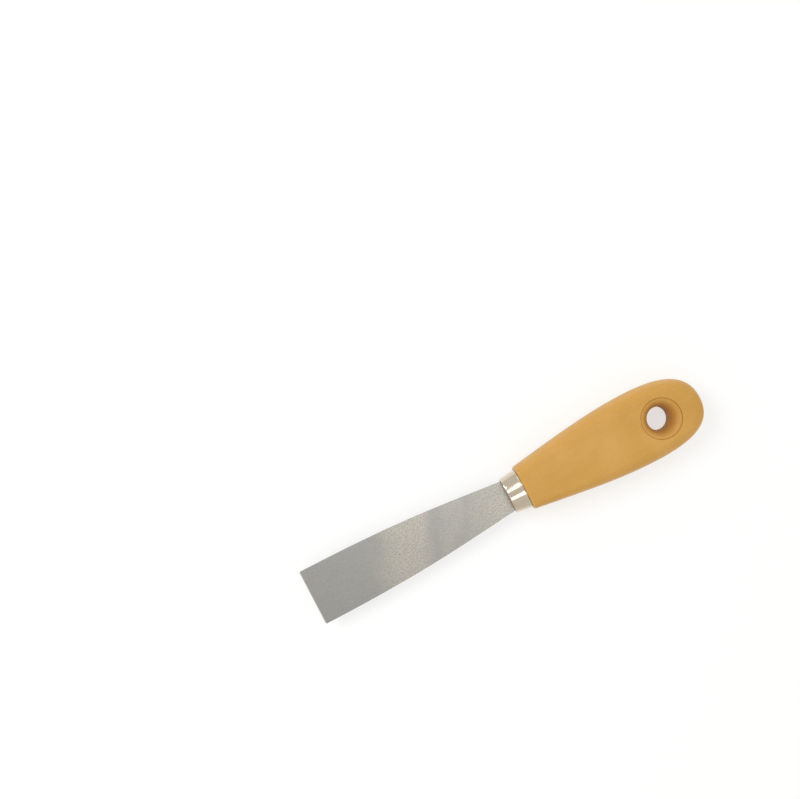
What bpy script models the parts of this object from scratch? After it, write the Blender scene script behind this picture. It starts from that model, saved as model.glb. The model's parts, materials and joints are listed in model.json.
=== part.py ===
"""A one-inch flexible putty knife: spring-steel blade, nickel-plated ferrule and wooden handle.

The knife lies flat. X runs from the handle to the blade's working edge, Y across the
blade, and Z up. The origin is under the middle of the knife's box, on the plane that
the handle lies on. All sizes are in metres.

The real blade is one sheet that bends. Here it is cut into a heel and three spans,
which turn on three axes across the blade, so that the bend can be driven as joints.
"""

import math

import bmesh
import bpy
from mathutils import Matrix, Vector

# Blade
BLADE_LENGTH = 0.0954  # from the ferrule's mouth to the working edge
BLADE_EDGE_WIDTH = 0.0253
BLADE_ROOT_WIDTH = 0.0141
BLADE_HEEL_THICKNESS = 0.0007
BLADE_EDGE_THICKNESS = 0.00045
BLADE_CORNER_RADIUS = 0.0006
BLADE_SIDE_RISES = (0.30, 0.51)  # the side's Bezier handle: shares of the length and of the gain in width
BLADE_SIDE_LEVELS = 0.50  # share of the length where the other handle has reached full width
FLEX_AXES = (1 / 6, 1 / 2, 5 / 6)  # as shares of the blade's length
SHOULDER_DEPTH = 0.0015  # how far the full-width heel runs into the ferrule
TANG_LENGTH = 0.042
TANG_WIDTH = 0.010
TANG_END_WIDTH = 0.007

# Ferrule
FERRULE_LENGTH = 0.0076  # from the handle's front face to the mouth
FERRULE_REAR_WIDTH = 0.0175
FERRULE_FRONT_WIDTH = 0.0160
FERRULE_REAR_THICKNESS = 0.0128
FERRULE_FRONT_THICKNESS = 0.0120
FERRULE_WALL = 0.00045
CREASE_DEPTH = 0.0006  # the valley along the middle of each broad face
CREASE_REACH = 0.0018
CREASE_FADE = 0.8  # share of the half thickness below which the crease fades out
OVAL_POWER = 2.6  # 2 is an ellipse, and more is squarer
OVAL_SIDES = 72

# Handle
HANDLE_LENGTH = 0.0854
HANDLE_WIDTH = 0.0322
HANDLE_THICKNESS = 0.0150
SIDE_ROUNDING = 0.0040  # how far the rounded side reaches in over the flat face
NECK_OVERRUN = 0.0080  # how far the outline runs on beyond the front face, which cuts it off
NECK_HALF_WIDTH = 0.0089  # at the end of that overrun
NECK_PULL = (0.0260, 0.00355)  # the neck's Bezier handle, back along the handle and outward
WIDEST_FROM_FRONT = 0.0567
SWELL_PULL = 0.0207  # the Bezier handle from the widest place towards the neck
TAIL_PULL = 0.0196  # the one towards the round end
END_PULL = 0.0115  # the ones to both sides of the round end's middle
HOLE_FROM_END = 0.0203
HOLE_RADIUS = 0.0050
HOLE_RING_RADIUS = 0.0090
HOLE_RING_DEPTH = 0.00035
HOLE_STRAIGHT_LENGTH = 0.0040
SPIGOT_ROOT = 0.0040  # how far the spigot's solid reaches back into the handle

# Fits
GAP = 0.0003  # clearance between pieces
GLUE_WALL = 0.0006
CUT_OVERRUN = 0.0010  # how far a cutter reaches beyond what it cuts

# Places along X, and the height of the middle plane
TOTAL_LENGTH = HANDLE_LENGTH + FERRULE_LENGTH + BLADE_LENGTH
EDGE_X = TOTAL_LENGTH / 2
MOUTH_X = EDGE_X - BLADE_LENGTH
FRONT_X = MOUTH_X - FERRULE_LENGTH
HANDLE_END_X = -TOTAL_LENGTH / 2
SHOULDER_X = MOUTH_X - SHOULDER_DEPTH
SPIGOT_X = SHOULDER_X - GAP
TANG_END_X = SHOULDER_X - TANG_LENGTH
HOLE_X = HANDLE_END_X + HOLE_FROM_END
MIDDLE_Z = HANDLE_THICKNESS / 2
FLEX_X = [MOUTH_X + share * BLADE_LENGTH for share in FLEX_AXES]

# Modelling
QUARTER_ARC = 0.55  # length of a Bezier handle that makes a quarter circle, as a share of its radius
WELD_DISTANCE = 1e-6
SHARP_DEGREES = 35

# Looks: name, colour, roughness and metallic value
OCHRE_WOOD = ("lacquered_wood", (0.62, 0.36, 0.10), 0.45, 0.0)
NICKEL = ("nickel_plate", (0.72, 0.69, 0.63), 0.18, 1.0)
SPRING_STEEL = ("spring_steel", (0.50, 0.49, 0.47), 0.34, 1.0)
RESIN = ("cured_resin", (0.55, 0.45, 0.25), 0.50, 0.0)


def clear_scene():
    for obj in list(bpy.data.objects):
        bpy.data.objects.remove(obj)


def new_collection(name):
    collection = bpy.data.collections.new(name)
    bpy.context.scene.collection.children.link(collection)
    return collection


def material(name, colour, roughness, metallic):
    made = bpy.data.materials.new(name)
    made.use_nodes = True
    shader = made.node_tree.nodes["Principled BSDF"]
    shader.inputs["Base Color"].default_value = (*colour, 1.0)
    shader.inputs["Roughness"].default_value = roughness
    shader.inputs["Metallic"].default_value = metallic
    made.diffuse_color = (*colour, 1.0)
    return made


def new_object(name, mesh, collection):
    obj = bpy.data.objects.new(name, mesh)
    collection.objects.link(obj)
    return obj


def mesh_of_curve(curve_obj):
    """The curve's mesh, each flat cap a single face that closes it. The curve is removed."""
    evaluated = curve_obj.evaluated_get(bpy.context.evaluated_depsgraph_get())
    mesh = bpy.data.meshes.new_from_object(evaluated)
    welded = bmesh.new()
    welded.from_mesh(mesh)
    bmesh.ops.remove_doubles(welded, verts=welded.verts, dist=WELD_DISTANCE)
    caps = [face for face in welded.faces if abs(face.normal.z) > 0.9999]
    bmesh.ops.delete(welded, geom=caps, context="FACES")
    bmesh.ops.holes_fill(welded, edges=[edge for edge in welded.edges if edge.is_boundary])
    bmesh.ops.recalc_face_normals(welded, faces=welded.faces)
    welded.to_mesh(mesh)
    welded.free()
    bpy.data.objects.remove(curve_obj)
    return mesh


def outline_curve(name, corners, resolution):
    """A closed flat outline. Each corner is a point, or a point with its two Bezier handles."""
    curve = bpy.data.curves.new(name, "CURVE")
    curve.dimensions = "2D"
    curve.fill_mode = "BOTH"
    curve.resolution_u = resolution
    spline = curve.splines.new("BEZIER")
    spline.bezier_points.add(len(corners) - 1)
    spline.use_cyclic_u = True
    for knot, corner in zip(spline.bezier_points, corners):
        if len(corner) == 2:
            knot.co = (*corner, 0)
            knot.handle_left_type = knot.handle_right_type = "VECTOR"
        else:
            before, at, after = corner
            knot.handle_left_type = knot.handle_right_type = "FREE"
            knot.co = (*at, 0)
            knot.handle_left = (*before, 0)
            knot.handle_right = (*after, 0)
    return curve


def box_cutter(name, low, high, collection):
    """A box between two corners, for cutting."""
    bpy.ops.mesh.primitive_cube_add(size=1)
    box = bpy.context.active_object
    box.name = name
    low, high = Vector(low), Vector(high)
    box.data.transform(Matrix.Diagonal((*(high - low), 1)))
    box.location = (low + high) / 2
    move_to(box, collection)
    hide_as_cutter(box)
    return box


def move_to(obj, collection):
    for old in list(obj.users_collection):
        old.objects.unlink(obj)
    collection.objects.link(obj)


def hide_as_cutter(obj):
    obj.hide_render = True
    obj.display_type = "WIRE"


def add_boolean(obj, cutter, operation):
    modifier = obj.modifiers.new(f"{operation.lower()} {cutter.name}", "BOOLEAN")
    modifier.operation = operation
    modifier.solver = "EXACT"
    modifier.object = cutter


def finish_piece(obj, look, sharp_degrees=SHARP_DEGREES):
    obj.data.materials.clear()
    obj.data.materials.append(look)
    obj.data.shade_smooth()
    obj.data.set_sharp_from_angle(angle=math.radians(sharp_degrees))


# ---------------------------------------------------------------- oval sections


def signed_power(value, power):
    return math.copysign(abs(value) ** power, value)


def oval_point(angle, half_width, half_thickness):
    """A point of the ferrule's section: a squarish oval with a crease in each broad face."""
    y = half_width * signed_power(math.cos(angle), 2 / OVAL_POWER)
    z = half_thickness * signed_power(math.sin(angle), 2 / OVAL_POWER)
    valley = CREASE_DEPTH * math.exp(-abs(y) / CREASE_REACH)
    return y, z - math.copysign(valley, z) * min(1.0, abs(z) / (CREASE_FADE * half_thickness))


def ferrule_half_sizes(x):
    """Half the ferrule's outer width and thickness at a place along it."""
    share = (x - FRONT_X) / FERRULE_LENGTH
    width = FERRULE_REAR_WIDTH + share * (FERRULE_FRONT_WIDTH - FERRULE_REAR_WIDTH)
    thickness = FERRULE_REAR_THICKNESS + share * (FERRULE_FRONT_THICKNESS - FERRULE_REAR_THICKNESS)
    return width / 2, thickness / 2


def oval_tube(name, rear_x, front_x, inset, closed_ends, collection):
    """A primitive cylinder whose two rings are shaped to the ferrule's section, moved in by inset."""
    ends = "NGON" if closed_ends else "NOTHING"
    bpy.ops.mesh.primitive_cylinder_add(vertices=OVAL_SIDES, radius=1, depth=1, end_fill_type=ends)
    tube = bpy.context.active_object
    tube.name = name
    for vertex in tube.data.vertices:
        angle = math.atan2(vertex.co.y, vertex.co.x)
        x = front_x if vertex.co.z > 0 else rear_x
        half_width, half_thickness = ferrule_half_sizes(x)
        y, z = oval_point(angle, half_width - inset, half_thickness - inset)
        vertex.co = (x, y, MIDDLE_Z + z)
    move_to(tube, collection)
    return tube


# ---------------------------------------------------------------- blade


def blade_outline():
    """The whole blade in plan: working edge, swelling sides, shoulders and tapered tang."""
    root, edge = BLADE_ROOT_WIDTH / 2, BLADE_EDGE_WIDTH / 2
    tang, tang_end = TANG_WIDTH / 2, TANG_END_WIDTH / 2
    radius = BLADE_CORNER_RADIUS
    along, outward = BLADE_SIDE_RISES
    side_rises = (MOUTH_X + along * BLADE_LENGTH, root + outward * (edge - root))
    side_levels = (MOUTH_X + BLADE_SIDE_LEVELS * BLADE_LENGTH, edge)
    corner_x, corner_y = EDGE_X - radius, edge - radius
    pull = QUARTER_ARC * radius
    half = [
        (TANG_END_X, tang_end),
        (SHOULDER_X, tang),
        (SHOULDER_X, root),
        ((MOUTH_X, root), (MOUTH_X, root), side_rises),
        (side_levels, (corner_x, edge), (corner_x + pull, edge)),
        ((EDGE_X, corner_y + pull), (EDGE_X, corner_y), (EDGE_X, corner_y)),
    ]
    return half + [mirrored(corner) for corner in reversed(half)]


def mirrored(corner):
    """The corner on the other side of the knife, with its handles in travelling order."""
    if len(corner) == 2 and not isinstance(corner[0], tuple):
        return (corner[0], -corner[1])
    before, at, after = corner
    return tuple((x, -y) for x, y in (after, at, before))


def blade_sheet():
    """The whole blade as a flat sheet of even thickness around the middle plane."""
    curve = outline_curve("blade_outline", blade_outline(), resolution=12)
    curve.extrude = BLADE_HEEL_THICKNESS / 2
    outline = new_object("blade_outline", curve, bpy.context.scene.collection)
    return mesh_of_curve(outline)


def blade_half_thickness(x):
    """Even over the heel, then ground thinner in a straight taper to the edge."""
    share = max(0.0, (x - FLEX_X[0]) / (EDGE_X - FLEX_X[0]))
    return (BLADE_HEEL_THICKNESS + share * (BLADE_EDGE_THICKNESS - BLADE_HEEL_THICKNESS)) / 2


def cut_away(mesh_data, x, side):
    """Removes what lies beyond x on one side, +1 or -1, and closes the cut."""
    geometry = mesh_data.verts[:] + mesh_data.edges[:] + mesh_data.faces[:]
    bmesh.ops.bisect_plane(
        mesh_data, geom=geometry, dist=1e-7, plane_co=(x, 0, 0), plane_no=(side, 0, 0), clear_outer=True
    )
    rim = [edge for edge in mesh_data.edges if edge.is_boundary]
    bmesh.ops.holes_fill(mesh_data, edges=rim)


def blade_piece(name, sheet, start_x, end_x, origin, collection):
    """The stretch of the sheet between two cuts, with the taper, and its origin on its flex axis."""
    piece = bmesh.new()
    piece.from_mesh(sheet)
    if start_x is not None:
        cut_away(piece, start_x, -1)
    if end_x is not None:
        cut_away(piece, end_x, +1)
    for vertex in piece.verts:
        vertex.co.z = math.copysign(blade_half_thickness(vertex.co.x), vertex.co.z)
    bmesh.ops.translate(piece, verts=piece.verts, vec=(-origin.x, -origin.y, MIDDLE_Z - origin.z))
    bmesh.ops.recalc_face_normals(piece, faces=piece.faces)
    mesh = bpy.data.meshes.new(name)
    piece.to_mesh(mesh)
    piece.free()
    return new_object(name, mesh, collection)


def make_blade(parts, look):
    """The heel with its tang, then the three spans, each turning on the one before."""
    sheet = blade_sheet()
    heel = blade_piece("blade_heel_and_tang", sheet, None, FLEX_X[0] - GAP / 2, Vector(), parts)
    finish_piece(heel, look)
    names = ("blade_inner_span", "blade_middle_span", "blade_tip_span")
    ends = [x - GAP / 2 for x in FLEX_X[1:]] + [None]
    parent, parent_origin = heel, Vector()
    for name, axis_x, end_x in zip(names, FLEX_X, ends):
        origin = Vector((axis_x, 0, MIDDLE_Z))
        span = blade_piece(name, sheet, axis_x + GAP / 2, end_x, origin, parts)
        finish_piece(span, look)
        span.parent = parent
        span.location = origin - parent_origin
        parent, parent_origin = span, origin
    bpy.data.meshes.remove(sheet)


# ---------------------------------------------------------------- ferrule


def make_ferrule(parts, look):
    ferrule = oval_tube("ferrule", FRONT_X + GAP, MOUTH_X, 0.0, False, parts)
    wall = ferrule.modifiers.new("wall", "SOLIDIFY")
    wall.thickness = FERRULE_WALL
    wall.offset = -1
    wall.use_even_offset = True
    finish_piece(ferrule, look, sharp_degrees=25)


# ---------------------------------------------------------------- handle


def handle_outline():
    """The handle in plan at its middle plane: a straight-sided neck that swells to a round end."""
    half = HANDLE_WIDTH / 2
    start = (FRONT_X + NECK_OVERRUN, NECK_HALF_WIDTH)
    neck = (start, start, (start[0] - NECK_PULL[0], start[1] + NECK_PULL[1]))
    widest_x = FRONT_X - WIDEST_FROM_FRONT
    widest = ((widest_x + SWELL_PULL, half), (widest_x, half), (widest_x - TAIL_PULL, half))
    tail = ((HANDLE_END_X, END_PULL), (HANDLE_END_X, 0.0), (HANDLE_END_X, -END_PULL))
    return [neck, widest, tail, mirrored(widest), mirrored(neck)]


def handle_blank():
    """The handle's mesh before it is cut: flat faces with sides rounded to a half oval."""
    curve = outline_curve("handle_outline", handle_outline(), resolution=14)
    curve.bevel_depth = SIDE_ROUNDING
    curve.bevel_resolution = 4
    curve.offset = -SIDE_ROUNDING
    outline = new_object("handle_outline", curve, bpy.context.scene.collection)
    mesh = mesh_of_curve(outline)
    mesh.transform(Matrix.Diagonal((1, 1, MIDDLE_Z / SIDE_ROUNDING, 1)))
    mesh.transform(Matrix.Translation((0, 0, MIDDLE_Z)))
    return mesh


def hanging_hole_cutter(collection):
    """A turned cutter: the bore, the rounded mouth at each face, and the small step of its ring."""
    mouth_bottom = HOLE_STRAIGHT_LENGTH / 2
    mouth_top = MIDDLE_Z - HOLE_RING_DEPTH
    above = MIDDLE_Z + CUT_OVERRUN
    steps = 7
    upper = [(0.0, above), (HOLE_RING_RADIUS, above)]
    for step in range(steps + 1):
        turn = math.pi / 2 * (1 - step / steps)
        radius = HOLE_RING_RADIUS - (HOLE_RING_RADIUS - HOLE_RADIUS) * math.cos(turn)
        upper.append((radius, mouth_bottom + (mouth_top - mouth_bottom) * math.sin(turn)))
    profile = upper + [(radius, -z) for radius, z in reversed(upper)]
    mesh = bpy.data.meshes.new("hanging_hole_cutter")
    edges = [(i, i + 1) for i in range(len(profile) - 1)]
    mesh.from_pydata([(radius, 0, z) for radius, z in profile], edges, [])
    cutter = new_object("hanging_hole_cutter", mesh, collection)
    cutter.location = (HOLE_X, 0, MIDDLE_Z)
    screw = cutter.modifiers.new("turn", "SCREW")
    screw.steps = screw.render_steps = 48
    screw.use_merge_vertices = True
    screw.merge_threshold = 1e-5
    hide_as_cutter(cutter)
    return cutter


def tang_slot_half_sizes(wall):
    """Half the width and height of a slot around the tang, at a distance of wall from it."""
    return TANG_WIDTH / 2 + wall, BLADE_HEEL_THICKNESS / 2 + wall


def slot_cutter(name, end_x, wall, collection):
    half_width, half_height = tang_slot_half_sizes(wall)
    low = (end_x, -half_width, MIDDLE_Z - half_height)
    high = (MOUTH_X, half_width, MIDDLE_Z + half_height)
    return box_cutter(name, low, high, collection)


def make_handle(parts, cutters, look):
    handle = new_object("handle", handle_blank(), parts)
    low = (FRONT_X, -HANDLE_WIDTH, -CUT_OVERRUN)
    high = (FRONT_X + 2 * NECK_OVERRUN, HANDLE_WIDTH, HANDLE_THICKNESS + CUT_OVERRUN)
    add_boolean(handle, box_cutter("handle_front_cutter", low, high, cutters), "DIFFERENCE")
    spigot = oval_tube("spigot", FRONT_X - SPIGOT_ROOT, SPIGOT_X, FERRULE_WALL + GAP, True, cutters)
    hide_as_cutter(spigot)
    add_boolean(handle, spigot, "UNION")
    wall = GAP + GLUE_WALL + GAP
    add_boolean(handle, slot_cutter("slot_cutter", TANG_END_X - wall, wall, cutters), "DIFFERENCE")
    add_boolean(handle, hanging_hole_cutter(cutters), "DIFFERENCE")
    finish_piece(handle, look)


def make_tang_glue(parts, cutters, look):
    """The cured glue that holds the tang: a sleeve between the tang and the handle's slot."""
    outer = GAP + GLUE_WALL
    half_width, half_height = tang_slot_half_sizes(outer)
    low = (TANG_END_X - outer, -half_width, MIDDLE_Z - half_height)
    high = (SPIGOT_X - GAP, half_width, MIDDLE_Z + half_height)
    glue = box_cutter("tang_glue", low, high, parts)
    glue.hide_render = False
    glue.display_type = "TEXTURED"
    add_boolean(glue, slot_cutter("glue_slot_cutter", TANG_END_X - GAP, GAP, cutters), "DIFFERENCE")
    finish_piece(glue, look)


def main():
    clear_scene()
    parts = new_collection("flexible_putty_knife")
    cutters = new_collection("cutters")
    make_handle(parts, cutters, material(*OCHRE_WOOD))
    make_ferrule(parts, material(*NICKEL))
    make_tang_glue(parts, cutters, material(*RESIN))
    make_blade(parts, material(*SPRING_STEEL))


main()
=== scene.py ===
"""The looks of a one-inch flexible putty knife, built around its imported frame.

The knife lies flat, with X from the handle to the blade's edge and Z up. Sizes are in
metres, and places come from the frame. The textures' coordinates are in millimetres.
"""

import json
import math

import bmesh
import bpy
import numpy as np
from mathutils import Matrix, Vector, noise


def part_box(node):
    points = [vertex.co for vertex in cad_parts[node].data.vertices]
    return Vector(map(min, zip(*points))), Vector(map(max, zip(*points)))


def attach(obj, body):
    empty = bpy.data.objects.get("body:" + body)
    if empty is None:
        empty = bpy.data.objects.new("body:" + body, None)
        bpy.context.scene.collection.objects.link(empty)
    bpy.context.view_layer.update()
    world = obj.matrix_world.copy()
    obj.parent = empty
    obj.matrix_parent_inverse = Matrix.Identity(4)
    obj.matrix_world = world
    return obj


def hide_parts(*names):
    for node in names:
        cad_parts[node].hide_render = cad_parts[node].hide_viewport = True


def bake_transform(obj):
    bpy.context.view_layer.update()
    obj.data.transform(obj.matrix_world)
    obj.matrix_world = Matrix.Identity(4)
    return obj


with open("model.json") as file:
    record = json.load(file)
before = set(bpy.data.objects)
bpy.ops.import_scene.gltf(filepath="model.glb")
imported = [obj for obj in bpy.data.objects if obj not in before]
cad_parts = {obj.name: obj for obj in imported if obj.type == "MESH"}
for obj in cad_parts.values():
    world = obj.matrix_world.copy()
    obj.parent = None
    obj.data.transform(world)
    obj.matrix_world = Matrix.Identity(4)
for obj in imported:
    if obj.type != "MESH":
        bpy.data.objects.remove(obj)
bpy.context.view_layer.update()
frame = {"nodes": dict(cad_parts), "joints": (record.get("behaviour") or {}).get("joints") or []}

MM = 0.001
WELD_DISTANCE = 0.5e-6

# Places read from the frame
HANDLE_LOW, HANDLE_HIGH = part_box("handle")
FERRULE_LOW, FERRULE_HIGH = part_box("ferrule")
TANG_LOW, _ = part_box("blade_heel_and_tang")
FLEX_POINTS = [Vector(joint["pos_m"]) for joint in frame["joints"]]
MIDDLE_Z = FLEX_POINTS[0].z
HALF_THICKNESS = HANDLE_HIGH.z - MIDDLE_Z
HALF_WIDTH = HANDLE_HIGH.y
HANDLE_END_X = HANDLE_LOW.x
SPIGOT_X = HANDLE_HIGH.x
REAR_RIM_X = FERRULE_LOW.x
MOUTH_X = FERRULE_HIGH.x
EDGE_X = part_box("blade_tip_span")[1].x
TANG_END_X = TANG_LOW.x
BLADE_LENGTH = EDGE_X - MOUTH_X

# Sizes that several pieces share
GAP = 0.12 * MM  # between pieces that touch in the real knife
FRONT_X = REAR_RIM_X - GAP
FERRULE_WALL = 0.45 * MM
TANG_HALF_WIDTH = 5.0 * MM
TANG_END_HALF_WIDTH = 3.5 * MM
HEEL_HALF_THICKNESS = 0.35 * MM
GLUE_OUTER = 0.9 * MM  # from the tang to the glue's outer face
SLOT_HALF_WIDTH = TANG_HALF_WIDTH + GLUE_OUTER + GAP
SLOT_HALF_HEIGHT = HEEL_HALF_THICKNESS + GLUE_OUTER + GAP


# ---------------------------------------------------------------- mesh helpers


def smooth_step(value):
    value = np.clip(value, 0.0, 1.0)
    return value * value * (3 - 2 * value)


def bezier(start, leave, arrive, end, count):
    """count points along a cubic Bezier, both ends included."""
    t = np.linspace(0, 1, count)[:, None]
    points = [np.array(p, float) for p in (start, leave, arrive, end)]
    weights = ((1 - t) ** 3, 3 * t * (1 - t) ** 2, 3 * t * t * (1 - t), t**3)
    return sum(weight * point for weight, point in zip(weights, points))


def evenly(points, count):
    """The polyline's points again, count of them at even distances."""
    steps = np.linalg.norm(np.diff(points, axis=0), axis=1)
    along = np.concatenate([[0], np.cumsum(steps)])
    wanted = np.linspace(0, along[-1], count)
    return np.stack([np.interp(wanted, along, points[:, i]) for i in range(points.shape[1])], 1)


def grid_faces(count, around, first=0, wrapped=False):
    """Quads between count closed rings of points. Wrapped, the last ring joins the first."""
    index = first + np.arange(count * around).reshape(count, around)
    faces = []
    for i in range(count if wrapped else count - 1):
        here, there = index[i], index[(i + 1) % count]
        for j in range(around):
            k = (j + 1) % around
            faces.append((here[j], here[k], there[k], there[j]))
    return faces


def mesh_object(name, points, faces):
    """A smooth-shaded object with coinciding points welded and its faces turned outward."""
    mesh = bpy.data.meshes.new(name)
    mesh.from_pydata([tuple(p) for p in points], [], [tuple(map(int, face)) for face in faces])
    work = bmesh.new()
    work.from_mesh(mesh)
    bmesh.ops.remove_doubles(work, verts=work.verts, dist=WELD_DISTANCE)
    bmesh.ops.recalc_face_normals(work, faces=work.faces)
    work.to_mesh(mesh)
    work.free()
    mesh.shade_smooth()
    obj = bpy.data.objects.new(name, mesh)
    bpy.context.scene.collection.objects.link(obj)
    return obj


def grid_object(name, rings, wrapped=False, caps=False):
    """An object from closed rings of points, which join into a tube, or wrapped into a loop."""
    rings = np.asarray(rings, float)
    count, around = rings.shape[:2]
    faces = grid_faces(count, around, wrapped=wrapped)
    if caps:
        last = (count - 1) * around
        faces.append(tuple(range(around)))
        faces.append(tuple(range(last, last + around)))
    return mesh_object(name, rings.reshape(-1, 3), faces)


def sharpen(obj, degrees):
    """Keeps the edges sharp where faces meet at more than this angle."""
    obj.data.set_sharp_from_angle(angle=math.radians(degrees))


def set_material(obj, material):
    obj.data.materials.clear()
    obj.data.materials.append(material)


def apply_boolean(obj, tool, operation):
    """Joins a closed piece to obj, or cuts it out, and removes the tool."""
    modifier = obj.modifiers.new(operation.lower(), "BOOLEAN")
    modifier.operation = operation
    modifier.solver = "EXACT"
    modifier.object = tool
    evaluated = obj.evaluated_get(bpy.context.evaluated_depsgraph_get())
    mesh = bpy.data.meshes.new_from_object(evaluated)
    obj.modifiers.clear()
    obj.data = mesh
    bpy.data.objects.remove(tool)


# ---------------------------------------------------------------- handle

FRONT_CORNER_RADIUS = 1.1 * MM  # of the front face's corners, in plan
FRONT_EDGE_RADIUS = 1.2 * MM  # where the front face turns into the flat faces
RIDGE_ANGLE = math.radians(73)  # the sides' curve, cut off where it meets the flat face
NECK_RIDGE_SOFTNESS = 1.6 * MM
END_RIDGE_SOFTNESS = 2.4 * MM
NECK_FLAT_MARGIN = 2.4 * MM  # from the side to the soft ridge, at the neck
END_FLAT_MARGIN = 3.7 * MM
RIDGE_CHANGE_LENGTH = 60 * MM  # from the front, over which the ridge changes to its form at the end
MITRE_LENGTH = 6.0 * MM  # along the sides from the front, over which the front's inset fades out
FACE_CROWN = 0.015  # share of the height that the flat faces lose at their sides
WIDEST_X = FRONT_X - 56.7 * MM
NECK = (FRONT_X + 8.0 * MM, 8.9 * MM)  # the outline starts here and is cut off at the front face
NECK_PULL = (FRONT_X - 18.0 * MM, 12.45 * MM)  # the Bezier handles of the outline, from here on
SWELL_PULL_X = WIDEST_X + 20.7 * MM
TAIL_PULL_X = WIDEST_X - 19.6 * MM
END_PULL_Y = 11.5 * MM
HOLE_X = HANDLE_END_X + 20.3 * MM
HOLE_RADIUS = 5.1 * MM
RING_RADIUS = 9.0 * MM
RING_STEP = 0.25 * MM  # how deep the ring is turned into the face
RING_GROOVE = 0.55 * MM  # how deep the line round it is scored
RING_LIP = 0.05 * MM  # the unit of the scored line's shape
BORE_HALF_LENGTH = 1.4 * MM
KEYHOLE_START = 15.0 * MM  # in front of the hole's middle, where lines stop ending on the hole
KEYHOLE_MARGIN = 7.0 * MM  # between the front face and the nearest line's end
KEYHOLE_TURN = math.radians(75)  # from which the lines run straight out from the hole
WOBBLE_PERIOD = 18 * MM
WOBBLE_HEIGHT = 0.05 * MM
SIDE_WOBBLE_SHARE = 0.6
SPIGOT_OVERLAP = 1.5 * MM  # how far the spigot's plug reaches back into the handle


def handle_half_outline():
    """The handle's edge in plan on one side, from the middle of the front face round to the end."""
    widest, end = (WIDEST_X, HALF_WIDTH), (HANDLE_END_X, 0)
    swell = bezier(NECK, NECK_PULL, (SWELL_PULL_X, HALF_WIDTH), widest, 400)
    tail = bezier(widest, (TAIL_PULL_X, HALF_WIDTH), (HANDLE_END_X, END_PULL_Y), end, 400)
    slope = math.atan2(NECK_PULL[1] - NECK[1], NECK[0] - NECK_PULL[0])
    turn = math.pi / 2 - slope
    side_start_x = FRONT_X - FRONT_CORNER_RADIUS * (1 - math.cos(turn))
    side_start_y = np.interp(-side_start_x, -swell[:, 0], swell[:, 1])
    centre_y = side_start_y - FRONT_CORNER_RADIUS * math.sin(turn)
    angles = np.linspace(0, turn, 60)
    corner_x = FRONT_X - FRONT_CORNER_RADIUS * (1 - np.cos(angles))
    corner_y = centre_y + FRONT_CORNER_RADIUS * np.sin(angles)
    corner = np.column_stack([corner_x, corner_y])
    front = np.array([(FRONT_X, 0.0), (FRONT_X, centre_y)])
    side = np.vstack([corner[-1:], swell[swell[:, 0] < side_start_x]])
    stretches = [evenly(front, 13), evenly(corner, 13), evenly(side, 96), evenly(tail, 90)]
    return np.vstack([stretches[0]] + [stretch[1:] for stretch in stretches[1:]])


def closed_outline():
    """The whole edge in plan, both sides of it, starting at the middle of the front face."""
    half = handle_half_outline()
    return np.vstack([half, half[-2:0:-1] * (1, -1)])


def ways_inward(outline):
    """Three weights for each point of the outline as it moves in.

    They are how far it goes back from the front face, forward from the round end and in from
    the side. The front's and the side's meet in a mitre at the front corners.
    """
    tangent = np.roll(outline, -1, axis=0) - np.roll(outline, 1, axis=0)
    inward = np.column_stack([-tangent[:, 1], tangent[:, 0]])
    inward /= np.linalg.norm(tangent, axis=1)[:, None]
    from_front = FRONT_X - outline[:, 0]
    width = np.abs(outline[:, 1])
    corner_y = width[from_front < FRONT_CORNER_RADIUS].max()
    back = 1 - smooth_step(from_front / MITRE_LENGTH)
    forward = np.clip(inward[:, 0], 0, 1)
    before_widest = outline[:, 0] > WIDEST_X
    sideways = np.where(before_widest, np.minimum(width / corner_y, 1), np.abs(inward[:, 1]))
    return back, forward, -np.sign(outline[:, 1]) * sideways


def side_profile(margin):
    """Insets and heights from the middle plane up to the ridge, on the sides and round the end."""
    turn = np.linspace(0, RIDGE_ANGLE, 17)
    inset = margin * (1 - np.cos(turn)) / (1 - math.cos(RIDGE_ANGLE))
    return inset, HALF_THICKNESS * np.sin(turn) / math.sin(RIDGE_ANGLE)


def front_inset(height):
    """How far the front face's rounded edge stands back, at a height from the middle plane."""
    above = np.clip(height - HALF_THICKNESS + FRONT_EDGE_RADIUS, 0, FRONT_EDGE_RADIUS)
    return FRONT_EDGE_RADIUS - np.sqrt(FRONT_EDGE_RADIUS**2 - above**2)


def softened(inset, height, softness):
    """The profile with the corner where it meets the flat face rounded by a quadratic curve."""
    steps = np.hypot(np.diff(inset), np.diff(height))
    before_end = np.concatenate([np.cumsum(steps[::-1])[::-1], [0]])
    cut_inset = np.interp(softness, before_end[::-1], inset[::-1])
    cut_height = np.interp(softness, before_end[::-1], height[::-1])
    share = np.linspace(0, 1, len(inset))
    kept = before_end > softness
    along = np.interp(share, np.linspace(0, 1, kept.sum() + 1), np.arange(kept.sum() + 1))
    base_inset = np.append(inset[kept], cut_inset)
    base_height = np.append(height[kept], cut_height)
    inset_out = np.interp(along, np.arange(len(base_inset)), base_inset)
    height_out = np.interp(along, np.arange(len(base_height)), base_height)
    t = np.linspace(0, 1, 8)[1:]
    last = (inset[-1] + softness, height[-1])
    curve_inset = (1 - t) ** 2 * cut_inset + 2 * t * (1 - t) * inset[-1] + t * t * last[0]
    curve_height = (1 - t) ** 2 * cut_height + 2 * t * (1 - t) * height[-1] + t * t * last[1]
    return np.append(inset_out, curve_inset), np.append(height_out, curve_height)


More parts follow.
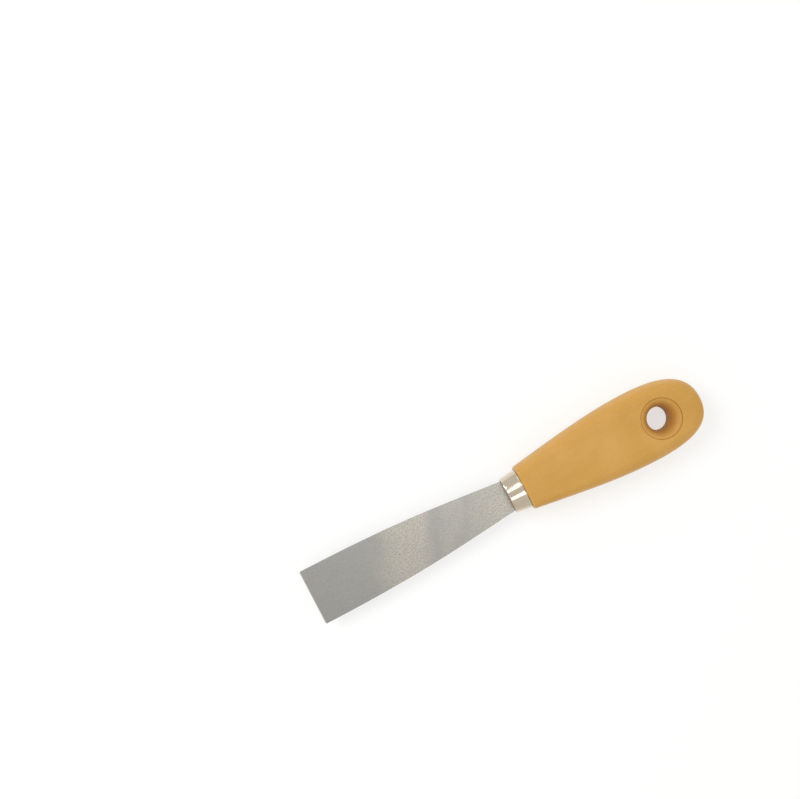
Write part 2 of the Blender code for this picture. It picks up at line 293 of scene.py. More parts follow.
def hole_profile():
    """Radius and height from the scored ring, down the rounded mouth, to the middle of the bore."""
    mouth_top = HALF_THICKNESS - RING_STEP
    groove_bottom = HALF_THICKNESS - RING_GROOVE
    step = [
        (RING_RADIUS + 1.6 * RING_LIP, HALF_THICKNESS),
        (RING_RADIUS, HALF_THICKNESS - RING_LIP),
        (RING_RADIUS - 1.5 * RING_LIP, groove_bottom),
        (RING_RADIUS - 2.5 * RING_LIP, groove_bottom),
        (RING_RADIUS - 5.0 * RING_LIP, mouth_top - RING_LIP),
        (RING_RADIUS - 7.0 * RING_LIP, mouth_top),
    ]
    mouth_radius = step[-1][0]
    mouth = []
    for turn in np.linspace(0, math.pi / 2, 18)[1:]:
        radius = mouth_radius - (mouth_radius - HOLE_RADIUS) * math.sin(turn)
        mouth.append((radius, BORE_HALF_LENGTH + (mouth_top - BORE_HALF_LENGTH) * math.cos(turn)))
    bore = [(HOLE_RADIUS, BORE_HALF_LENGTH * share) for share in (0.6, 0.3, 0.0)]
    return step, mouth + bore


def side_rings(outline):
    """Rings round the handle from its middle plane up over the soft ridge to the flat face."""
    from_front = FRONT_X - outline[:, 0]
    share = smooth_step(from_front / RIDGE_CHANGE_LENGTH)
    margins = NECK_FLAT_MARGIN + share * (END_FLAT_MARGIN - NECK_FLAT_MARGIN)
    softness = NECK_RIDGE_SOFTNESS + share * (END_RIDGE_SOFTNESS - NECK_RIDGE_SOFTNESS)
    sides = [softened(*side_profile(margin), soft) for margin, soft in zip(margins, softness)]
    sides = np.array(sides)
    back, forward, sideways = ways_inward(outline)
    rings = []
    for inset, height in zip(sides[:, 0].T, sides[:, 1].T):
        x = outline[:, 0] - back * front_inset(height) + forward * inset
        rings.append(np.column_stack([x, outline[:, 1] + sideways * inset, height]))
    return rings


def keyhole(rim, radius):
    """Where the flat face's lines end: round the hanging hole, or on a line from it to the front.

    Also returns the angles of the points round the hole.
    """
    half = len(rim) // 2 + 1
    angle = np.arctan2(np.abs(rim[:half, 1]), rim[:half, 0] - HOLE_X)
    on_line = int(np.argmax(rim[:half, 0] < HOLE_X + KEYHOLE_START))
    line_start, line_end = HOLE_X + radius, FRONT_X - KEYHOLE_MARGIN
    share = (rim[:on_line, 0] - rim[on_line, 0]) / (rim[0, 0] - rim[on_line, 0])
    line = np.column_stack([line_start + (line_end - line_start) * share, np.zeros(on_line)])
    known_turns = (angle[on_line], KEYHOLE_TURN, math.pi)
    turn = np.interp(angle[on_line:], known_turns, (0, KEYHOLE_TURN, math.pi))
    circle = np.column_stack([HOLE_X + radius * np.cos(turn), radius * np.sin(turn)])
    plan = np.vstack([line, circle])
    plan = np.vstack([plan, plan[-2:0:-1] * (1, -1)])
    angles = np.concatenate([turn, 2 * math.pi - turn[-2:0:-1]])
    return np.column_stack([plan, np.full(len(plan), HALF_THICKNESS)]), angles


def handle_surface():
    """The handle's points and faces before the spigot is joined and the tang's slot is cut."""
    sides = side_rings(closed_outline())
    step, mouth = hole_profile()
    target, angles = keyhole(sides[-1], step[0][0])
    face = [sides[-1] + (target - sides[-1]) * share for share in np.linspace(0, 1, 17)[1:]]
    upper = sides + face
    shell = [ring * (1, 1, -1) for ring in upper[:0:-1]] + upper

    turned = []
    for radius, height in step + mouth:
        x, y = HOLE_X + radius * np.cos(angles), radius * np.sin(angles)
        turned.append(np.column_stack([x, y, np.full(len(angles), height)]))
    hole = turned + [ring * (1, 1, -1) for ring in turned[-2::-1]]

    points = np.vstack(shell + hole)
    first = len(shell) * len(target)
    faces = grid_faces(len(shell), len(target)) + grid_faces(len(hole), len(angles), first)
    return points, faces


def sanded(points):
    """The points with slightly crowned faces, and as uneven as sanding by hand leaves them."""
    out = points.copy()
    out[:, 2] *= 1 - FACE_CROWN * (points[:, 1] / HALF_WIDTH) ** 2
    for point in out:
        wobble = noise.noise(Vector(point) / WOBBLE_PERIOD) * WOBBLE_HEIGHT
        point[2] *= 1 + wobble / HALF_THICKNESS
        point[1] *= 1 + SIDE_WOBBLE_SHARE * wobble / HALF_WIDTH
    out[:, 2] *= HALF_THICKNESS / np.abs(out[:, 2]).max()
    out[:, 2] += MIDDLE_Z
    return out


def make_handle(material):
    points, faces = handle_surface()
    handle = mesh_object("handle_wood", sanded(points), faces)
    spigot = oval_plug("spigot", FRONT_X - SPIGOT_OVERLAP, SPIGOT_X, FERRULE_WALL + GAP)
    apply_boolean(handle, spigot, "UNION")
    slot_end_x = TANG_END_X - GLUE_OUTER - GAP
    slot = box_object("slot", slot_end_x, MOUTH_X, SLOT_HALF_WIDTH, SLOT_HALF_HEIGHT)
    apply_boolean(handle, slot, "DIFFERENCE")
    handle.data.shade_smooth()
    sharpen(handle, degrees=38)
    set_material(handle, material)
    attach(handle, "grip")
    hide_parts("handle")


# ---------------------------------------------------------------- ferrule and spigot

FERRULE_REAR = (8.75 * MM, 6.4 * MM)  # half width and half thickness
FERRULE_FRONT = (7.8 * MM, 6.0 * MM)
RIM_ROUNDING = 0.15 * MM
REAR_FLARE = 0.05 * MM
REAR_FLARE_SHARE = 0.08  # of the ferrule's length, from the rear rim
MOUTH_TUCK = 0.03 * MM
MOUTH_TUCK_SHARE = 0.06
RIM_WAVE = 0.09 * MM  # how far the rims swing forward and back across the broad faces
RIM_WAVE_HALF_PERIOD = 1.95 * MM
RIM_WAVE_SHARE = 0.25  # of the ferrule's length, from either rim
SECTION_HALF_WIDTH = 8.4  # in millimetres, where the tilts below are given
SIDE_TURN_START = 7.8  # in millimetres, from where the section turns fast and needs closer points
# Distance from the middle in millimetres, and how far the broad face leans outward in degrees.
# It dips in the middle, for the crease, and has a second, fainter edge at 4.2 mm.
SECTION_TILTS = (
    (0.0, -17),
    (0.55, -11),
    (1.95, 0),
    (3.35, 11),
    (4.20, 13),
    (4.32, 20),
    (5.0, 22),
    (6.0, 27),
    (7.0, 37),
    (7.8, 54),
    (8.2, 70),
    (8.4, 85),
)
CRIMP_MARKS = ((REAR_RIM_X + 0.4 * MM, 0.9 * MM), (MOUTH_X - 0.4 * MM, 4.4 * MM))
CRIMP_DEPTH = 0.07 * MM
CRIMP_HALF_WIDTH = 0.5 * MM
CRIMP_HALF_LENGTH = 0.35 * MM


def quarter_section():
    """The ferrule's outer line from the middle of a broad face to its side, as widths and drops."""
    places, tilts = np.array(SECTION_TILTS).T
    face = np.linspace(0, SIDE_TURN_START, 61)
    y = np.concatenate([face, np.linspace(SIDE_TURN_START, SECTION_HALF_WIDTH, 13)[1:]])
    slope = np.tan(np.radians(np.interp(y, places, tilts)))
    drop = np.concatenate([[0], np.cumsum((slope[1:] + slope[:-1]) / 2 * np.diff(y))])
    return y / SECTION_HALF_WIDTH, (drop - drop.min()) * MM


QUARTER_WIDTHS, QUARTER_DROPS = quarter_section()


def section(half_width, half_thickness):
    """One closed ring of y and z round the ferrule, from the middle of its side wall."""
    wall_top = half_thickness - QUARTER_DROPS[-1]
    wall = [(half_width, wall_top * share) for share in np.linspace(0, 1, 6)[:-1]]
    face = np.column_stack([QUARTER_WIDTHS * half_width, half_thickness - QUARTER_DROPS])[::-1]
    quarter = np.vstack([wall, face])
    upper = np.vstack([quarter, quarter[-2::-1] * (-1, 1)])
    return np.vstack([upper, upper[-2:0:-1] * (1, -1)])


def section_half_sizes(x):
    """The ferrule's half width and half thickness at x."""
    share = (x - FRONT_X) / (MOUTH_X - FRONT_X)
    return [rear + share * (front - rear) for rear, front in zip(FERRULE_REAR, FERRULE_FRONT)]


def oval_plug(name, rear_x, front_x, inset):
    """A plug of the ferrule's section, moved in by inset, with flat ends."""
    rings = []
    for x in np.linspace(rear_x, front_x, 6):
        half_width, half_thickness = section_half_sizes(x)
        ring = section(half_width - inset, half_thickness - inset)
        rings.append(np.column_stack([np.full(len(ring), x), ring[:, 0], MIDDLE_Z + ring[:, 1]]))
    return grid_object(name, rings, caps=True)


def box_object(name, rear_x, front_x, half_width, half_height):
    """A box about the middle plane."""
    corners = ((-1, -1), (1, -1), (1, 1), (-1, 1))
    rings = []
    for x in (rear_x, front_x):
        rings.append([(x, y * half_width, MIDDLE_Z + z * half_height) for y, z in corners])
    return grid_object(name, rings, caps=True)


def ferrule_station(x, inset):
    """One ring of the ferrule at x. inset is the distance in from its outer surface."""
    share = (x - REAR_RIM_X) / (MOUTH_X - REAR_RIM_X)
    half_width, half_thickness = section_half_sizes(x)
    ring = section(half_width, half_thickness)
    tangent = np.roll(ring, -1, axis=0) - np.roll(ring, 1, axis=0)
    outward = np.column_stack([tangent[:, 1], -tangent[:, 0]])
    outward /= np.linalg.norm(outward, axis=1)[:, None]
    flare = REAR_FLARE * smooth_step(1 - share / REAR_FLARE_SHARE)
    tuck = MOUTH_TUCK * smooth_step(1 - (1 - share) / MOUTH_TUCK_SHARE)
    ring = ring + outward * (flare - tuck - crimp_depth(ring, x) - inset)[:, None]
    on_broad_face = np.clip(np.abs(ring[:, 1]) / half_thickness * 1.5 - 0.6, 0, 1)
    wave = RIM_WAVE * on_broad_face * np.cos(ring[:, 0] / RIM_WAVE_HALF_PERIOD * math.pi)
    near_rear = smooth_step(1 - share / RIM_WAVE_SHARE)
    near_mouth = smooth_step(1 - (1 - share) / RIM_WAVE_SHARE)
    along = wave * (near_rear - near_mouth)
    return np.column_stack([x + along, ring[:, 0], MIDDLE_Z + ring[:, 1]])


def crimp_depth(ring, x):
    """How far the small crimp marks near the rims press the sheet in, at each point of a ring."""
    depth = np.zeros(len(ring))
    for mark_x, mark_y in CRIMP_MARKS:
        across = (np.abs(ring[:, 0]) - mark_y) / CRIMP_HALF_WIDTH
        along = (x - mark_x) / CRIMP_HALF_LENGTH
        depth += CRIMP_DEPTH * np.exp(-(across**2 + along**2))
    return depth


def make_ferrule(material):
    """The sleeve: rings along its outside, round the mouth, back inside and round the rear rim."""
    half_wall = FERRULE_WALL / 2
    outer_x = np.linspace(REAR_RIM_X + RIM_ROUNDING, MOUTH_X - RIM_ROUNDING, 36)
    rings = [ferrule_station(x, 0.0) for x in outer_x]
    half_turns = np.linspace(0, math.pi, 9)[1:-1]
    for turn in half_turns:
        x = MOUTH_X - RIM_ROUNDING * (1 - math.sin(turn))
        rings.append(ferrule_station(x, half_wall * (1 - math.cos(turn))))
    rings += [ferrule_station(x, FERRULE_WALL) for x in outer_x[::-3]]
    for turn in half_turns:
        x = REAR_RIM_X + RIM_ROUNDING * (1 - math.sin(turn))
        rings.append(ferrule_station(x, half_wall * (1 + math.cos(turn))))
    ferrule = grid_object("ferrule_sleeve", rings, wrapped=True)
    sharpen(ferrule, degrees=25)
    set_material(ferrule, material)
    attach(ferrule, "grip")
    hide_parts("ferrule")


# ---------------------------------------------------------------- blade

ROOT_HALF_WIDTH = 7.05 * MM
EDGE_HALF_WIDTH = 12.65 * MM
EDGE_HALF_THICKNESS = 0.225 * MM
EDGE_BEVEL_LENGTH = 0.45 * MM
EDGE_BEVEL_DEPTH = 0.10 * MM
CORNER_RADIUS = 0.6 * MM
SHOULDER_X = MOUTH_X - 1.5 * MM
SHOULDER_LENGTH = 0.2 * MM
LONG_EDGE_BREAK = 0.07 * MM
LONG_EDGE_BREAK_SHARE = 0.45  # of the half thickness, at most
STATION_STEP = 0.4 * MM
UV_PER_METRE = 10.0


def blade_side():
    """The blade's half width against x over its free length, as two arrays."""
    rise = EDGE_HALF_WIDTH - ROOT_HALF_WIDTH
    curve = bezier(
        (MOUTH_X, ROOT_HALF_WIDTH),
        (MOUTH_X + 0.30 * BLADE_LENGTH, ROOT_HALF_WIDTH + 0.51 * rise),
        (MOUTH_X + 0.50 * BLADE_LENGTH, EDGE_HALF_WIDTH),
        (EDGE_X, EDGE_HALF_WIDTH),
        300,
    )
    return curve[:, 0], curve[:, 1]


SIDE_X, SIDE_HALF_WIDTH = blade_side()


def blade_half_width(x):
    if x < SHOULDER_X + SHOULDER_LENGTH:
        share = (x - TANG_END_X) / (SHOULDER_X - TANG_END_X)
        tang = TANG_END_HALF_WIDTH + share * (TANG_HALF_WIDTH - TANG_END_HALF_WIDTH)
        into_shoulder = float(smooth_step((x - SHOULDER_X) / SHOULDER_LENGTH))
        return tang + (ROOT_HALF_WIDTH - tang) * into_shoulder
    half_width = float(np.interp(x, SIDE_X, SIDE_HALF_WIDTH))
    into_corner = max(0.0, x - (EDGE_X - CORNER_RADIUS))
    return half_width - CORNER_RADIUS + math.sqrt(max(0.0, CORNER_RADIUS**2 - into_corner**2))


def blade_half_thickness(x):
    """Even over the heel, then ground thinner, with the working edge bevelled on both faces."""
    share = max(0.0, (x - FLEX_POINTS[0].x) / (EDGE_X - FLEX_POINTS[0].x))
    half = HEEL_HALF_THICKNESS + share * (EDGE_HALF_THICKNESS - HEEL_HALF_THICKNESS)
    into_bevel = (x - EDGE_X + EDGE_BEVEL_LENGTH) / EDGE_BEVEL_LENGTH
    return half - EDGE_BEVEL_DEPTH * float(smooth_step(into_bevel))


def blade_ring(x):
    """One closed cross-section of the blade, with its long edges slightly rounded."""
    half_width, half = blade_half_width(x), blade_half_thickness(x)
    broken = min(LONG_EDGE_BREAK, LONG_EDGE_BREAK_SHARE * half)
    chamfer = 0.3 * broken  # about where the middle of a quarter circle lies
    across = np.linspace(-1, 1, 19) * (half_width - broken)
    top = [(y, half) for y in across]
    right = [(half_width - chamfer, half - chamfer), (half_width, half - broken)]
    right += [(y, -z) for y, z in reversed(right)]
    bottom = [(y, -half) for y in across[::-1]]
    left = [(-y, z) for y, z in reversed(right)]
    return [(x, y, MIDDLE_Z + z) for y, z in top + right + bottom + left]


def blade_stations():
    """Where the blade's cross-sections stand, closer together at the shoulder and the edge."""
    tang = np.linspace(TANG_END_X, SHOULDER_X - 0.1 * MM, 24)
    shoulder = np.linspace(SHOULDER_X, SHOULDER_X + SHOULDER_LENGTH, 6)
    free = np.arange(SHOULDER_X + 0.5 * MM, EDGE_X - 0.8 * MM, STATION_STEP)
    corner = EDGE_X - CORNER_RADIUS * np.cos(np.linspace(0, math.pi / 2, 14))
    return np.concatenate([tang, shoulder, free, corner])


def blade_piece(name, start_x, end_x, material):
    """The blade between two places, closed at both ends, with a UV map of the whole sheet."""
    closest = 0.02 * MM
    inner = [x for x in blade_stations() if start_x + closest < x < end_x - closest]
    rings = [blade_ring(x) for x in [start_x, *inner, end_x]]
    piece = grid_object(name, rings, caps=True)
    sharpen(piece, degrees=15)
    layer = piece.data.uv_layers.new(name="sheet")
    for loop in piece.data.loops:
        point = piece.data.vertices[loop.vertex_index].co
        layer.data[loop.index].uv = (point.x * UV_PER_METRE, point.y * UV_PER_METRE)
    set_material(piece, material)
    return piece


def make_blade(material):
    """The sheet in three pieces, cut at thirds of its free length; the first also holds the heel
    and tang.
    """
    nodes = ["blade_heel_and_tang", "blade_inner_span", "blade_middle_span", "blade_tip_span"]
    thirds = [MOUTH_X + share * BLADE_LENGTH for share in (0, 1 / 3, 2 / 3, 1)]
    starts = [TANG_END_X] + thirds[1:3]
    names = ["blade_root_third", "blade_middle_third", "blade_outer_third"]
    for i, name in enumerate(names):
        piece = blade_piece(name, starts[i], thirds[i + 1], material)
        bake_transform(piece)
        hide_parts(nodes[i + 1])
        if i == 0:
            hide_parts(nodes[0])


# ---------------------------------------------------------------- materials


def fill_ramp(ramp, stops):
    while len(ramp.elements) < len(stops):
        ramp.elements.new(0.5)
    for element, (position, colour) in zip(ramp.elements, stops):
        element.position = position
        element.color = (*colour, 1) if isinstance(colour, tuple) else (colour, colour, colour, 1)


class Shader:
    """A material's node tree, with short ways to add the nodes that the materials here need."""

    def __init__(self, name):
        self.material = bpy.data.materials.new(name)
        self.material.use_nodes = True
        self.tree = self.material.node_tree
        self.surface = self.tree.nodes["Principled BSDF"]

    def node(self, kind, **settings):
        made = self.tree.nodes.new(kind)
        for key, value in settings.items():
            setattr(made, key, value)
        return made

    def link(self, source, target):
        self.tree.links.new(source, target)

    def millimetres(self, stretch=(1, 1, 1), uv=False):
        """Millimetres on the piece at rest, or on the blade's sheet, multiplied by stretch."""
        place = self.node("ShaderNodeTexCoord")
        mapping = self.node("ShaderNodeMapping")
        per_unit = 1 / (MM * UV_PER_METRE) if uv else 1 / MM
        mapping.inputs["Scale"].default_value = [per_unit * share for share in stretch]
        self.link(place.outputs["UV" if uv else "Object"], mapping.inputs["Vector"])
        return mapping.outputs["Vector"]

    def noise(self, vector, scale, detail=2.0, roughness=0.5, distortion=0.0, colour=False):
        texture = self.node("ShaderNodeTexNoise")
        texture.inputs["Scale"].default_value = scale
        texture.inputs["Detail"].default_value = detail
        texture.inputs["Roughness"].default_value = roughness
        texture.inputs["Distortion"].default_value = distortion
        self.link(vector, texture.inputs["Vector"])
        return texture.outputs["Color" if colour else "Fac"]

    def ramp(self, value, stops, smooth=False):
        """A ramp through stops, which are pairs of a position and a colour or a grey."""
        made = self.node("ShaderNodeValToRGB")
        if smooth:
            made.color_ramp.interpolation = "EASE"
        fill_ramp(made.color_ramp, stops)
        self.link(value, made.inputs["Fac"])
        return made.outputs["Color"]

    def maths(self, operation, a, b=None):
        made = self.node("ShaderNodeMath", operation=operation)
        for socket, value in zip(made.inputs, (a, b)):
            if value is None:
                continue
            if isinstance(value, (int, float)):
                socket.default_value = value
            else:
                self.link(value, socket)
        return made.outputs[0]

    def clamped(self, value, high=1.0):
        """The value, kept between 0 and high."""
        return self.maths("MINIMUM", self.maths("MAXIMUM", value, 0.0), high)

    def square(self, value):
        return self.maths("MULTIPLY", value, value)

    def mix(self, factor, a, b, blend="MIX"):
        made = self.node("ShaderNodeMix", data_type="RGBA", blend_type=blend)
        factor_socket, a_socket, b_socket = 0, 6, 7  # a mix node's sockets for colours
        for index, value in ((factor_socket, factor), (a_socket, a), (b_socket, b)):
            socket = made.inputs[index]
            if isinstance(value, (int, float)):
                socket.default_value = value
            elif isinstance(value, tuple):
                socket.default_value = (*value, 1)
            else:
                self.link(value, socket)
        colour_output = 2
        return made.outputs[colour_output]

    def bump(self, height, distance, strength=1.0, under=None):
        made = self.node("ShaderNodeBump")
        made.inputs["Strength"].default_value = strength
        made.inputs["Distance"].default_value = distance
        self.link(height, made.inputs["Height"])
        if under is not None:
            self.link(under, made.inputs["Normal"])
        return made.outputs["Normal"]

    def set(self, **inputs):
        """Sets or links inputs of the surface, named with underscores for spaces."""
        for key, value in inputs.items():
            socket = self.surface.inputs[key.replace("_", " ")]
            if isinstance(value, (int, float)):
                socket.default_value = value
            elif isinstance(value, tuple):
                socket.default_value = (*value, 1)
            else:
                self.link(value, socket)


HOLE_SHADE_DEPTH = 3.6  # in millimetres in from the ring, where the painted shade in the hole is darkest and the wood roughest
STAIN = (
    (0.32, (0.560, 0.285, 0.036)),
    (0.50, (0.602, 0.313, 0.048)),
    (0.68, (0.645, 0.342, 0.070)),
)
GRAIN = ((0.35, (0.40, 0.19, 0.03)), (0.65, (0.80, 0.50, 0.18)))
SPECKLE = ((0.38, (0.42, 0.19, 0.03)), (0.62, (0.78, 0.50, 0.18)))
PORE_COLOUR = (0.33, 0.15, 0.03)
HOLE_PAINTED_SHADE_COLOUR = (0.40, 0.165, 0.025)  # painted shade inside the hanging hole


def hole_depth(shader, place):
    """From 0 at the hanging hole's ring and outside it to 1 in the hole."""
    split = shader.node("ShaderNodeSeparateXYZ")
    shader.link(place, split.inputs["Vector"])
    from_axis = shader.maths("SUBTRACT", split.outputs["X"], HOLE_X / MM)
    squares = shader.maths("ADD", shader.square(from_axis), shader.square(split.outputs["Y"]))
    radius = shader.maths("SQRT", squares)
    into_ring = shader.maths("SUBTRACT", RING_RADIUS / MM, radius)
    return shader.clamped(shader.maths("DIVIDE", into_ring, HOLE_SHADE_DEPTH))


def wood_material():
    """Ochre stained and lacquered wood: very close grain, small pores, soft blotches of stain."""
    shader = Shader("ochre_lacquered_wood")
    plain = shader.millimetres()
    colour = shader.ramp(shader.noise(plain, 0.055, detail=3, roughness=0.5), STAIN)
    fibres = shader.millimetres((0.05, 1, 1))
    grain = shader.noise(fibres, 1.5, detail=5, roughness=0.6, distortion=0.3)
    colour = shader.mix(0.06, colour, shader.ramp(grain, GRAIN))
    speckle = shader.noise(plain, 2.6, detail=3, roughness=0.6)
    colour = shader.mix(0.14, colour, shader.ramp(speckle, SPECKLE))
    pores = shader.noise(shader.millimetres((0.35, 3.2, 3.2)), 1.0, detail=1)
    pore_mask = shader.ramp(pores, [(0.68, 0.0), (0.76, 1.0)])
    colour = shader.mix(shader.maths("MULTIPLY", pore_mask, 0.14), colour, PORE_COLOUR)
    depth = hole_depth(shader, plain)
    # painted shade: the wood darkens down into the hanging hole
    colour = shader.mix(shader.maths("MULTIPLY", depth, 0.75), colour, HOLE_PAINTED_SHADE_COLOUR)
    roughness = shader.ramp(shader.noise(plain, 0.35, detail=4), [(0.3, 0.42), (0.7, 0.54)])
    roughness = shader.mix(depth, roughness, (0.95, 0.95, 0.95))
    fine = shader.bump(grain, 0.05 * MM, strength=0.25)
    fine = shader.bump(speckle, 0.03 * MM, strength=0.35, under=fine)
    fine = shader.bump(pore_mask, -0.03 * MM, strength=0.5, under=fine)
    shader.set(Base_Color=colour, Roughness=roughness, Normal=fine)
    shader.set(Coat_Weight=0.12, Coat_Roughness=0.35)
    return shader.material


def nickel_material():
    """Polished nickel plate with fine drawing lines along the sleeve and slight tarnish."""
    shader = Shader("polished_nickel")
    plain = shader.millimetres()
    lines = shader.noise(shader.millimetres((0.05, 1, 1)), 9.0, detail=3)
    tarnish = shader.noise(plain, 0.5, detail=4, roughness=0.6)
    colour = shader.ramp(tarnish, [(0.3, (0.70, 0.61, 0.48)), (0.7, (0.66, 0.565, 0.435))])
    roughness = shader.ramp(tarnish, [(0.3, 0.10), (0.75, 0.20)])
    shader.set(Base_Color=colour, Metallic=1.0, Roughness=roughness)
    shader.set(Normal=shader.bump(lines, 0.008 * MM, strength=0.4))
    return shader.material


PAINTED_EDGE_HIGHLIGHT_WIDTH = 0.5  # width in millimetres of the painted highlight strip at the working edge
PAINTED_EDGE_HIGHLIGHT_STEEPNESS = 4.0  # how fast the strip starts, per millimetre
PAINTED_EDGE_HIGHLIGHT_STRENGTH = 0.8
BAND_SLANT = 0.45  # how far forward a band runs for each millimetre towards +Y
BAND_WAVER = 22.0  # in millimetres
PAINTED_REFLECTION_BANDS = (  # share of the free length, and how bright the painted reflection is there
    (0.0, 0.95),
    (0.15, 0.5),
    (0.24, 0.15),
    (0.29, 0.45),
    (0.35, 0.05),
    (0.46, 0.9),
    (0.56, 0.9),
    (0.70, 0.0),
)
PAINTED_DARK_REFLECTION_STEEL = (0.375, 0.368, 0.347)
PAINTED_BRIGHT_REFLECTION_STEEL = (0.476, 0.450, 0.402)
PAINTED_EDGE_HIGHLIGHT_COLOUR = (0.66, 0.59, 0.53)


def steel_material():
    """Ground spring steel: brighter and duller bands of painted reflection, a sparkling grain, a
    painted highlight along the working edge.
    """
    shader = Shader("ground_spring_steel")
    sheet = shader.millimetres(uv=True)
    split = shader.node("ShaderNodeSeparateXYZ")
    shader.link(sheet, split.inputs["Vector"])
    along, across = split.outputs["X"], split.outputs["Y"]

    # painted reflection: slanted, wavering bands of brighter and darker steel along the blade
    waver = shader.maths("SUBTRACT", shader.noise(sheet, 0.07, detail=3), 0.5)
    slanted = shader.maths("SUBTRACT", along, shader.maths("MULTIPLY", across, BAND_SLANT))
    place = shader.maths("ADD", slanted, shader.maths("MULTIPLY", waver, BAND_WAVER))
    from_mouth = shader.maths("SUBTRACT", place, MOUTH_X / MM)
    painted_reflection = shader.ramp(shader.maths("DIVIDE", from_mouth, BLADE_LENGTH / MM), PAINTED_REFLECTION_BANDS, smooth=True)
    colour = shader.mix(painted_reflection, PAINTED_DARK_REFLECTION_STEEL, PAINTED_BRIGHT_REFLECTION_STEEL)

    grinding = shader.millimetres((0.12, 2.2, 1), uv=True)
    streaks = shader.noise(grinding, 1.2, detail=5, roughness=0.65)
    grey_streaks = shader.ramp(streaks, [(0.3, 0.30), (0.7, 0.70)])
    colour = shader.mix(0.10, colour, grey_streaks, blend="OVERLAY")
    grain = shader.noise(sheet, 1.9, detail=1, colour=True)
    grey_grain = shader.ramp(shader.noise(sheet, 1.7, detail=3), [(0.3, 0.0), (0.7, 1.0)])
    grain = shader.mix(0.6, grain, grey_grain)
    # the grain shows more where the painted reflection is brighter
    sparkle = shader.maths("ADD", shader.maths("MULTIPLY", painted_reflection, 0.36), 0.16)
    colour = shader.mix(sparkle, colour, grain, blend="OVERLAY")
    # painted highlight: a strip of paler steel along the working edge
    into_edge = shader.maths("SUBTRACT", along, EDGE_X / MM - PAINTED_EDGE_HIGHLIGHT_WIDTH)
    rise = shader.maths("MULTIPLY", into_edge, PAINTED_EDGE_HIGHLIGHT_STEEPNESS)
    edge = shader.clamped(rise, PAINTED_EDGE_HIGHLIGHT_STRENGTH)
    colour = shader.mix(edge, colour, PAINTED_EDGE_HIGHLIGHT_COLOUR)

    roughness = shader.ramp(streaks, [(0.3, 0.30), (0.7, 0.42)])
    normal = shader.bump(streaks, 0.012 * MM, strength=0.5)
    normal = shader.bump(shader.noise(sheet, 3.0, detail=1), 0.012 * MM, strength=0.6, under=normal)
    shader.set(Base_Color=colour, Metallic=1.0, Roughness=roughness, Normal=normal)
    return shader.material


def resin_material():
    """Cured amber glue with small bubbles."""
    shader = Shader("cured_glue")
    bubbles = shader.noise(shader.millimetres(), 2.5, detail=2)
    colour = shader.ramp(bubbles, [(0.3, (0.42, 0.30, 0.12)), (0.7, (0.55, 0.42, 0.20))])
    shader.set(Base_Color=colour, Roughness=0.35)
    shader.set(Normal=shader.bump(bubbles, 0.05 * MM, strength=0.3))
    return shader.material


# ---------------------------------------------------------------- studio

CAMERA_HEIGHT = 350 * MM
CAMERA_X = 20.8 * MM
CAMERA_Y = -58.7 * MM
CAMERA_TURN = math.radians(152.4)
VIEW_WIDTH = 346.8 * MM  # what the picture spans at the blade
SENSOR_WIDTH = 36.0  # like the lens, in millimetres
FLOOR_REACH = 3.0
FLOOR_DROP = 0.02 * MM  # under the handle, so that their faces don't coincide
SKY_GREYS = ((0.0, 0.80), (0.35, 0.74), (0.75, 0.70), (0.95, 0.75))  # from the horizon up


def make_camera():
    data = bpy.data.cameras.new("camera")
    data.sensor_width = SENSOR_WIDTH
    data.lens = SENSOR_WIDTH * CAMERA_HEIGHT / VIEW_WIDTH
    camera = bpy.data.objects.new("camera", data)
    camera.location = (CAMERA_X, CAMERA_Y, MIDDLE_Z + CAMERA_HEIGHT)
    camera.rotation_euler = (0, 0, CAMERA_TURN)
    bpy.context.scene.collection.objects.link(camera)
    bpy.context.scene.camera = camera


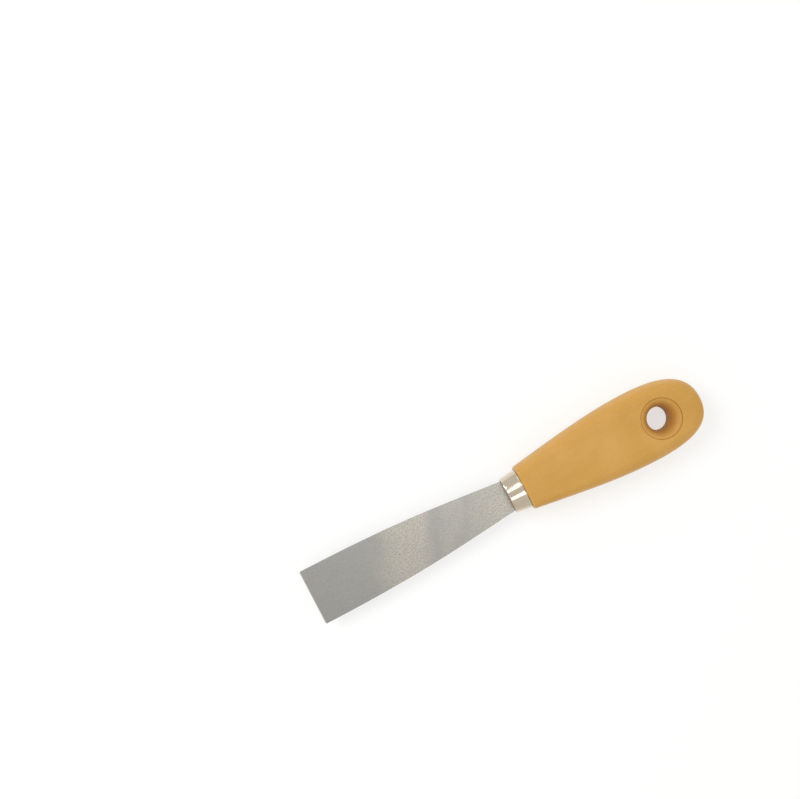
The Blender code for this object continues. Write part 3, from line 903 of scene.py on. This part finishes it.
def make_floor():
    """A pale floor that gives off part of its light by itself, so that it stays nearly white."""
    data = bpy.data.meshes.new("floor")
    signs = ((-1, -1), (1, -1), (1, 1), (-1, 1))
    corners = [(x * FLOOR_REACH, y * FLOOR_REACH, 0) for x, y in signs]
    data.from_pydata(corners, [], [(0, 1, 2, 3)])
    floor = bpy.data.objects.new("floor", data)
    floor.location.z = -FLOOR_DROP
    bpy.context.scene.collection.objects.link(floor)
    shader = Shader("pale_floor")
    shader.set(Base_Color=(0.40, 0.40, 0.40), Roughness=0.9)
    shader.set(Emission_Color=(1.0, 1.0, 1.0), Emission_Strength=0.6)
    set_material(floor, shader.material)


def area_light(name, place, size, power):
    """A round white light that points at the middle of the knife. power is in watts."""
    data = bpy.data.lights.new(name, "AREA")
    data.shape = "DISK"
    data.size = size
    data.energy = power
    light = bpy.data.objects.new(name, data)
    light.location = place
    light.rotation_euler = (-Vector(place)).to_track_quat("-Z", "Y").to_euler()
    bpy.context.scene.collection.objects.link(light)


def make_sky():
    """A studio's walls: pale near the floor, darker above and a little paler overhead."""
    world = bpy.data.worlds.new("studio")
    world.use_nodes = True
    tree = world.node_tree
    place = tree.nodes.new("ShaderNodeTexCoord")
    split = tree.nodes.new("ShaderNodeSeparateXYZ")
    ramp = tree.nodes.new("ShaderNodeValToRGB")
    tree.links.new(place.outputs["Generated"], split.inputs["Vector"])
    tree.links.new(split.outputs["Z"], ramp.inputs["Fac"])
    stops = [(position, (grey, 0.99 * grey, 0.97 * grey)) for position, grey in SKY_GREYS]
    fill_ramp(ramp.color_ramp, stops)
    background = tree.nodes["Background"]
    tree.links.new(ramp.outputs["Color"], background.inputs["Color"])
    background.inputs["Strength"].default_value = 1.0
    bpy.context.scene.world = world


def make_studio():
    make_camera()
    make_floor()
    make_sky()
    area_light("overhead", (-0.06, -0.08, 1.0), size=0.4, power=0.8)
    area_light("key", (0.58, -0.64, 0.86), size=0.6, power=5.1)
    bpy.context.scene.view_settings.view_transform = "Standard"
    bpy.context.scene.view_settings.look = "None"


# ---------------------------------------------------------------- the knife


def main():
    make_handle(wood_material())
    make_ferrule(nickel_material())
    make_blade(steel_material())
    glue = frame["nodes"]["tang_glue"]
    set_material(glue, resin_material())
    make_studio()


main()
